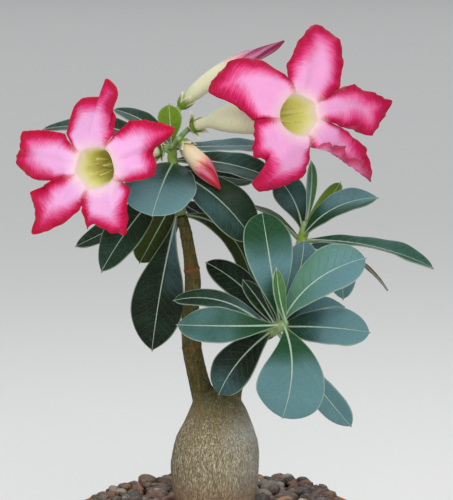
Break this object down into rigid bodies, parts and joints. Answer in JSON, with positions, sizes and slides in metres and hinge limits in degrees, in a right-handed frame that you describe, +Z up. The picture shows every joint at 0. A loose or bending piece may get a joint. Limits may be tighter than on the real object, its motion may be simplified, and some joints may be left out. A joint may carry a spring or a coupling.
{
  "type": "potted desert rose plant",
  "caption": "Flowering succulent with a swollen caudex, woody stems, rosettes of broad leaves and pink trumpet blooms, rooted in gravel in a rimmed clay pot.",
  "frame": {"origin": "centre of the pot's foot, on the surface it stands on", "axes": "+Z up along the caudex, +X to the right of the side that the blooms face, -Y towards the viewer"},
  "size_m": [0.1728, 0.132, 0.2884],
  "materials": {
    "terracotta": "matte",
    "soil": "matte",
    "gravel": "matte",
    "bark": "matte",
    "green_stem": "satin",
    "leaf": "satin",
    "young_leaf": "satin",
    "petal": "matte",
    "stamen": "matte",
    "sepal": "satin"
  },
  "bodies": {
    "root": {"pot": "terracotta", "soil": "soil", "gravel": "gravel", "caudex": "bark", "shoot_front": "green_stem", "shoot_right": "green_stem", "flower_stalks": "green_stem", "bloom_left": "petal", "stamens_left": "stamen", "calyx_left": "sepal", "bloom_right": "petal", "stamens_right": "stamen", "calyx_right": "sepal", "bud_tall": "petal", "bud_small": "petal", "calyx_bud_tall": "sepal", "calyx_bud_small": "sepal", "leaf_front_tall": "leaf", "leaf_front_young": "young_leaf", "leaf_front_blue": "leaf", "leaf_front_pale": "leaf", "leaf_front_right": "leaf", "leaf_front_right_upper": "leaf", "leaf_front_broad": "leaf", "leaf_front_low_right": "leaf", "leaf_front_low_left": "leaf", "leaf_front_left": "leaf", "leaf_front_left_behind": "leaf", "leaf_front_dark": "leaf", "leaf_front_inner_a": "leaf", "leaf_front_inner_b": "leaf", "leaf_right_long": "leaf", "leaf_right_folded": "leaf", "leaf_right_young": "young_leaf", "leaf_right_teal": "leaf", "leaf_right_upright": "young_leaf", "leaf_right_hanging": "leaf", "leaf_right_left": "leaf", "leaf_right_low": "leaf", "leaf_top_broad": "leaf", "leaf_top_left_low": "leaf", "leaf_top_left_small": "leaf", "leaf_top_olive": "leaf", "leaf_top_hanging": "leaf", "leaf_top_front_right": "leaf", "leaf_top_right_high": "leaf", "leaf_top_right": "leaf", "leaf_top_right_behind": "leaf", "leaf_top_behind": "leaf", "leaf_top_arching": "leaf", "leaf_top_long_left": "leaf", "leaf_top_left_back": "leaf", "leaf_top_round": "young_leaf"}
  },
  "joints": []
}
